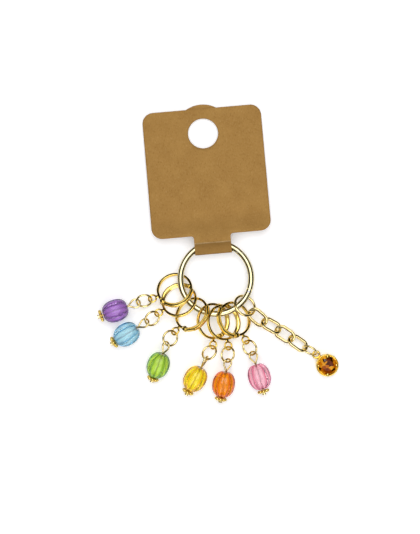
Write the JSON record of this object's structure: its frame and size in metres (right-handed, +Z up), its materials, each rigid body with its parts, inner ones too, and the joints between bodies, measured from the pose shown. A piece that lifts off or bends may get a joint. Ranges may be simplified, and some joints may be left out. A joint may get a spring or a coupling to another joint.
{
  "type": "stitch marker set",
  "caption": "Beaded dangle stitch markers with hinged leverback hoops, kept on a gated holder ring with a folded hang card, an extender chain and a stone charm.",
  "frame": {"origin": "centre of the holder ring at the middle of its wire", "axes": "+Z up, square to the holder ring; +Y from the ring along the hang card"},
  "size_m": [0.0861, 0.1093, 0.0107],
  "materials": {
    "holder_gold": "polished, pale champagne gold plate",
    "marker_gold": "polished yellow gold plate",
    "chain_gold": "polished pale gold plate",
    "steel": "plain spring steel",
    "kraft": "matt kraft card",
    "glue": "dry clear glue",
    "amber": "cut and foiled",
    "bead_purple": "clear moulded acrylic",
    "bead_aqua": "clear moulded acrylic",
    "bead_green": "clear moulded acrylic",
    "bead_yellow": "clear moulded acrylic",
    "bead_orange": "clear moulded acrylic",
    "bead_pink": "clear moulded acrylic"
  },
  "bodies": {
    "root": {"ring_body": "holder_gold", "gate_pin": "steel", "gate_spring": "steel"},
    "gate": {"ring_gate": "holder_gold"},
    "tag": {"tag_card": "kraft", "tag_adhesive": "glue"},
    "hoop_purple": {"hoop_purple": "marker_gold", "rivet_purple": "marker_gold"},
    "lever_purple": {"lever_purple": "marker_gold"},
    "jump_ring_purple": {"jump_ring_purple": "chain_gold"},
    "pin_purple": {"pin_purple": "chain_gold"},
    "bead_purple": {"bead_purple": "bead_purple"},
    "spacer_purple": {"spacer_purple": "marker_gold"},
    "hoop_aqua": {"hoop_aqua": "marker_gold", "rivet_aqua": "marker_gold"},
    "lever_aqua": {"lever_aqua": "marker_gold"},
    "jump_ring_aqua": {"jump_ring_aqua": "chain_gold"},
    "pin_aqua": {"pin_aqua": "chain_gold"},
    "bead_aqua": {"bead_aqua": "bead_aqua"},
    "spacer_aqua": {"spacer_aqua": "marker_gold"},
    "hoop_green": {"hoop_green": "marker_gold", "rivet_green": "marker_gold"},
    "lever_green": {"lever_green": "marker_gold"},
    "jump_ring_green": {"jump_ring_green": "chain_gold"},
    "pin_green": {"pin_green": "chain_gold"},
    "bead_green": {"bead_green": "bead_green"},
    "spacer_green": {"spacer_green": "marker_gold"},
    "hoop_yellow": {"hoop_yellow": "marker_gold", "rivet_yellow": "marker_gold"},
    "lever_yellow": {"lever_yellow": "marker_gold"},
    "jump_ring_yellow": {"jump_ring_yellow": "chain_gold"},
    "pin_yellow": {"pin_yellow": "chain_gold"},
    "bead_yellow": {"bead_yellow": "bead_yellow"},
    "spacer_yellow": {"spacer_yellow": "marker_gold"},
    "hoop_orange": {"hoop_orange": "marker_gold", "rivet_orange": "marker_gold"},
    "lever_orange": {"lever_orange": "marker_gold"},
    "jump_ring_orange": {"jump_ring_orange": "chain_gold"},
    "pin_orange": {"pin_orange": "chain_gold"},
    "bead_orange": {"bead_orange": "bead_orange"},
    "spacer_orange": {"spacer_orange": "marker_gold"},
    "hoop_pink": {"hoop_pink": "marker_gold", "rivet_pink": "marker_gold"},
    "lever_pink": {"lever_pink": "marker_gold"},
    "jump_ring_pink": {"jump_ring_pink": "chain_gold"},
    "pin_pink": {"pin_pink": "chain_gold"},
    "bead_pink": {"bead_pink": "bead_pink"},
    "spacer_pink": {"spacer_pink": "marker_gold"},
    "chain_ring": {"chain_ring": "chain_gold"},
    "chain_link_1": {"chain_link_1": "chain_gold"},
    "chain_link_2": {"chain_link_2": "chain_gold"},
    "chain_link_3": {"chain_link_3": "chain_gold"},
    "chain_link_4": {"chain_link_4": "chain_gold"},
    "charm_ring": {"charm_ring": "chain_gold"},
    "charm": {"charm_cup": "marker_gold", "charm_stone": "amber"}
  },
  "joints": [
    {"name": "gate_hinge", "type": "hinge", "parent": "root", "child": "gate", "pos_m": [0.01145, -0.00583, 0], "axis": [0, 0, 1], "range_deg": [0, 28], "stiffness_Nm_per_rad": 0.002, "springref_deg": -11.46},
    {"name": "tag_round_ring", "type": "hinge", "parent": "root", "child": "tag", "pos_m": [0, 0, 0], "axis": [0, 0, 1], "range_deg": [-25, 25]},
    {"name": "hoop_round_ring_purple", "type": "hinge", "parent": "root", "child": "hoop_purple", "pos_m": [0, 0, 0], "axis": [0, 0, 1], "range_deg": [-30, 1]},
    {"name": "hoop_round_ring_aqua", "type": "hinge", "parent": "root", "child": "hoop_aqua", "pos_m": [0, 0, 0], "axis": [0, 0, 1], "range_deg": [-1, 3]},
    {"name": "hoop_round_ring_green", "type": "hinge", "parent": "root", "child": "hoop_green", "pos_m": [0, 0, 0], "axis": [0, 0, 1], "range_deg": [-4.5, 1.5]},
    {"name": "hoop_round_ring_yellow", "type": "hinge", "parent": "root", "child": "hoop_yellow", "pos_m": [0, 0, 0], "axis": [0, 0, 1], "range_deg": [-1.5, 2]},
    {"name": "hoop_round_ring_orange", "type": "hinge", "parent": "root", "child": "hoop_orange", "pos_m": [0, 0, 0], "axis": [0, 0, 1], "range_deg": [-1.5, 2.5]},
    {"name": "hoop_round_ring_pink", "type": "hinge", "parent": "root", "child": "hoop_pink", "pos_m": [0, 0, 0], "axis": [0, 0, 1], "range_deg": [-2, 3]},
    {"name": "lever_hinge_purple", "type": "hinge", "parent": "hoop_purple", "child": "lever_purple", "pos_m": [-0.01991, -0.00653, 0.00118], "axis": [0.1327, -0.4342, -0.891], "range_deg": [0, 60]},
    {"name": "lever_hinge_aqua", "type": "hinge", "parent": "hoop_aqua", "child": "lever_aqua", "pos_m": [-0.01994, -0.00717, -0.00122], "axis": [-0.2058, 0.422, 0.8829], "range_deg": [0, 60]},
    {"name": "lever_hinge_green", "type": "hinge", "parent": "hoop_green", "child": "lever_green", "pos_m": [-0.01261, -0.01724, 0.00311], "axis": [0.4039, -0.4646, -0.788], "range_deg": [0, 60]},
    {"name": "lever_hinge_yellow", "type": "hinge", "parent": "hoop_yellow", "child": "lever_yellow", "pos_m": [-0.00063, -0.02101, -0.00166], "axis": [0.4991, -0.0342, 0.8659], "range_deg": [-60, 0]},
    {"name": "lever_hinge_orange", "type": "hinge", "parent": "hoop_orange", "child": "lever_orange", "pos_m": [0.00423, -0.02136, -0.00139], "axis": [-0.4827, -0.0626, -0.8736], "range_deg": [0, 60]},
    {"name": "lever_hinge_pink", "type": "hinge", "parent": "hoop_pink", "child": "lever_pink", "pos_m": [0.00558, -0.02126, 0.00141], "axis": [-0.4733, -0.2097, -0.8556], "range_deg": [-60, 0]},
    {"name": "chain_round_ring", "type": "hinge", "parent": "root", "child": "chain_ring", "pos_m": [0, 0, 0], "axis": [0, 0, 1], "range_deg": [-3, 14]},
    {"name": "jump_ring_swing_purple", "type": "hinge", "parent": "hoop_purple", "child": "jump_ring_purple", "pos_m": [-0.02358, -0.00523, 0], "axis": [-0.1327, 0.4342, 0.891], "range_deg": [-25, 4]},
    {"name": "jump_ring_swing_aqua", "type": "hinge", "parent": "hoop_aqua", "child": "jump_ring_aqua", "pos_m": [-0.02175, -0.01061, 0], "axis": [-0.2058, 0.422, 0.8829], "range_deg": [-4, 25]},
    {"name": "jump_ring_swing_green", "type": "hinge", "parent": "hoop_green", "child": "jump_ring_green", "pos_m": [-0.01632, -0.01775, 0.00151], "axis": [-0.4039, 0.4646, 0.788], "range_deg": [-25, 25]},
    {"name": "jump_ring_swing_yellow", "type": "hinge", "parent": "hoop_yellow", "child": "jump_ring_yellow", "pos_m": [-0.00308, -0.02397, -0.00036], "axis": [0.4991, -0.0342, 0.8659], "range_deg": [-20, 12]},
    {"name": "jump_ring_swing_orange", "type": "hinge", "parent": "hoop_orange", "child": "jump_ring_orange", "pos_m": [0.00238, -0.02475, -0.00012], "axis": [0.4827, 0.0626, 0.8736], "range_deg": [-10, 15]},
    {"name": "jump_ring_swing_pink", "type": "hinge", "parent": "hoop_pink", "child": "jump_ring_pink", "pos_m": [0.00888, -0.02321, 0.00007], "axis": [0.4733, 0.2097, 0.8556], "range_deg": [-15, 25]},
    {"name": "pin_swing_purple", "type": "hinge", "parent": "jump_ring_purple", "child": "pin_purple", "pos_m": [-0.02668, -0.00578, -0.0002], "axis": [-0.0708, 0.667, -0.7417], "range_deg": [-8, 25]},
    {"name": "pin_swing_aqua", "type": "hinge", "parent": "jump_ring_aqua", "child": "pin_aqua", "pos_m": [-0.02428, -0.01245, 0.00029], "axis": [-0.4205, 0.4555, -0.7847], "range_deg": [-25, 7]},
    {"name": "pin_swing_green", "type": "hinge", "parent": "jump_ring_green", "child": "pin_green", "pos_m": [-0.01833, -0.02014, 0.00189], "axis": [-0.4059, 0.1983, -0.8922], "range_deg": [-25, 25]},
    {"name": "pin_swing_yellow", "type": "hinge", "parent": "jump_ring_yellow", "child": "pin_yellow", "pos_m": [-0.0047, -0.02655, 0.00047], "axis": [0.4125, -0.5016, -0.7604], "range_deg": [-18, 25]},
    {"name": "pin_swing_orange", "type": "hinge", "parent": "jump_ring_orange", "child": "pin_orange", "pos_m": [0.00195, -0.02784, 0.00034], "axis": [0.5656, -0.199, -0.8003], "range_deg": [-25, 16]},
    {"name": "pin_swing_pink", "type": "hinge", "parent": "jump_ring_pink", "child": "pin_pink", "pos_m": [0.01011, -0.02611, 0.0001], "axis": [0.5441, 0.2226, -0.809], "range_deg": [-25, 20]},
    {"name": "chain_link_swing_1", "type": "hinge", "parent": "chain_ring", "child": "chain_link_1", "pos_m": [0.00968, -0.01075, 0], "axis": [0.4575, 0.412, 0.788], "range_deg": [-35, 35]},
    {"name": "chain_link_swing_2", "type": "hinge", "parent": "chain_link_1", "child": "chain_link_2", "pos_m": [0.01486, -0.0163, -0.00034], "axis": [0.2323, 0.3472, -0.9085], "range_deg": [-35, 35]},
    {"name": "chain_link_swing_3", "type": "hinge", "parent": "chain_link_2", "child": "chain_link_3", "pos_m": [0.01966, -0.01954, -0.00048], "axis": [0.3785, 0.4873, 0.7869], "range_deg": [-35, 35]},
    {"name": "chain_link_swing_4", "type": "hinge", "parent": "chain_link_3", "child": "chain_link_4", "pos_m": [0.02423, -0.02311, -0.00056], "axis": [0.2253, 0.3401, -0.913], "range_deg": [-35, 35]},
    {"name": "charm_ring_swing", "type": "hinge", "parent": "chain_link_4", "child": "charm_ring", "pos_m": [0.02867, -0.02684, -0.00073], "axis": [0.3778, 0.4503, 0.809], "range_deg": [-35, 35]},
    {"name": "charm_swing", "type": "hinge", "parent": "charm_ring", "child": "charm", "pos_m": [0.03181, -0.02896, -0.00101], "axis": [0.4946, 0.7596, -0.4224], "range_deg": [-30, 30]},
    {"name": "bead_spin_purple", "type": "hinge", "parent": "pin_purple", "child": "bead_purple", "pos_m": [-0.03742, -0.00848, -0.00006], "axis": [-0.9644, -0.2584, 0.0566], "continuous": true},
    {"name": "spacer_spin_purple", "type": "hinge", "parent": "pin_purple", "child": "spacer_purple", "pos_m": [-0.0427, -0.00989, 0.00025], "axis": [-0.9644, -0.2584, 0.0566], "continuous": true},
    {"name": "bead_spin_aqua", "type": "hinge", "parent": "pin_aqua", "child": "bead_aqua", "pos_m": [-0.03407, -0.01737, -0.00006], "axis": [-0.8824, -0.4496, -0.1385], "continuous": true},
    {"name": "spacer_spin_aqua", "type": "hinge", "parent": "pin_aqua", "child": "spacer_aqua", "pos_m": [-0.03889, -0.01983, -0.00082], "axis": [-0.8824, -0.4496, -0.1385], "continuous": true},
    {"name": "bead_spin_green", "type": "hinge", "parent": "pin_green", "child": "bead_green", "pos_m": [-0.02357, -0.02956, -0.00006], "axis": [-0.4359, -0.8556, -0.2792], "continuous": true},
    {"name": "spacer_spin_green", "type": "hinge", "parent": "pin_green", "child": "spacer_green", "pos_m": [-0.02596, -0.03424, -0.00159], "axis": [-0.4359, -0.8556, -0.2792], "continuous": true},
    {"name": "bead_spin_yellow", "type": "hinge", "parent": "pin_yellow", "child": "bead_yellow", "pos_m": [-0.01068, -0.03562, -0.00006], "axis": [-0.5502, -0.8157, -0.1789], "continuous": true},
    {"name": "spacer_spin_yellow", "type": "hinge", "parent": "pin_yellow", "child": "spacer_yellow", "pos_m": [-0.01369, -0.04008, -0.00104], "axis": [-0.5502, -0.8157, -0.1789], "continuous": true},
    {"name": "bead_spin_orange", "type": "hinge", "parent": "pin_orange", "child": "bead_orange", "pos_m": [-0.00053, -0.03852, -0.00006], "axis": [-0.2735, -0.9539, -0.1232], "continuous": true},
    {"name": "spacer_spin_orange", "type": "hinge", "parent": "pin_orange", "child": "spacer_orange", "pos_m": [-0.00203, -0.04374, -0.00073], "axis": [-0.2735, -0.9539, -0.1232], "continuous": true},
    {"name": "bead_spin_pink", "type": "hinge", "parent": "pin_pink", "child": "bead_pink", "pos_m": [0.01262, -0.03691, -0.00006], "axis": [0.1908, -0.9816, 0.0025], "continuous": true},
    {"name": "spacer_spin_pink", "type": "hinge", "parent": "pin_pink", "child": "spacer_pink", "pos_m": [0.01366, -0.04228, -0.00005], "axis": [0.1908, -0.9816, 0.0025], "continuous": true}
  ]
}
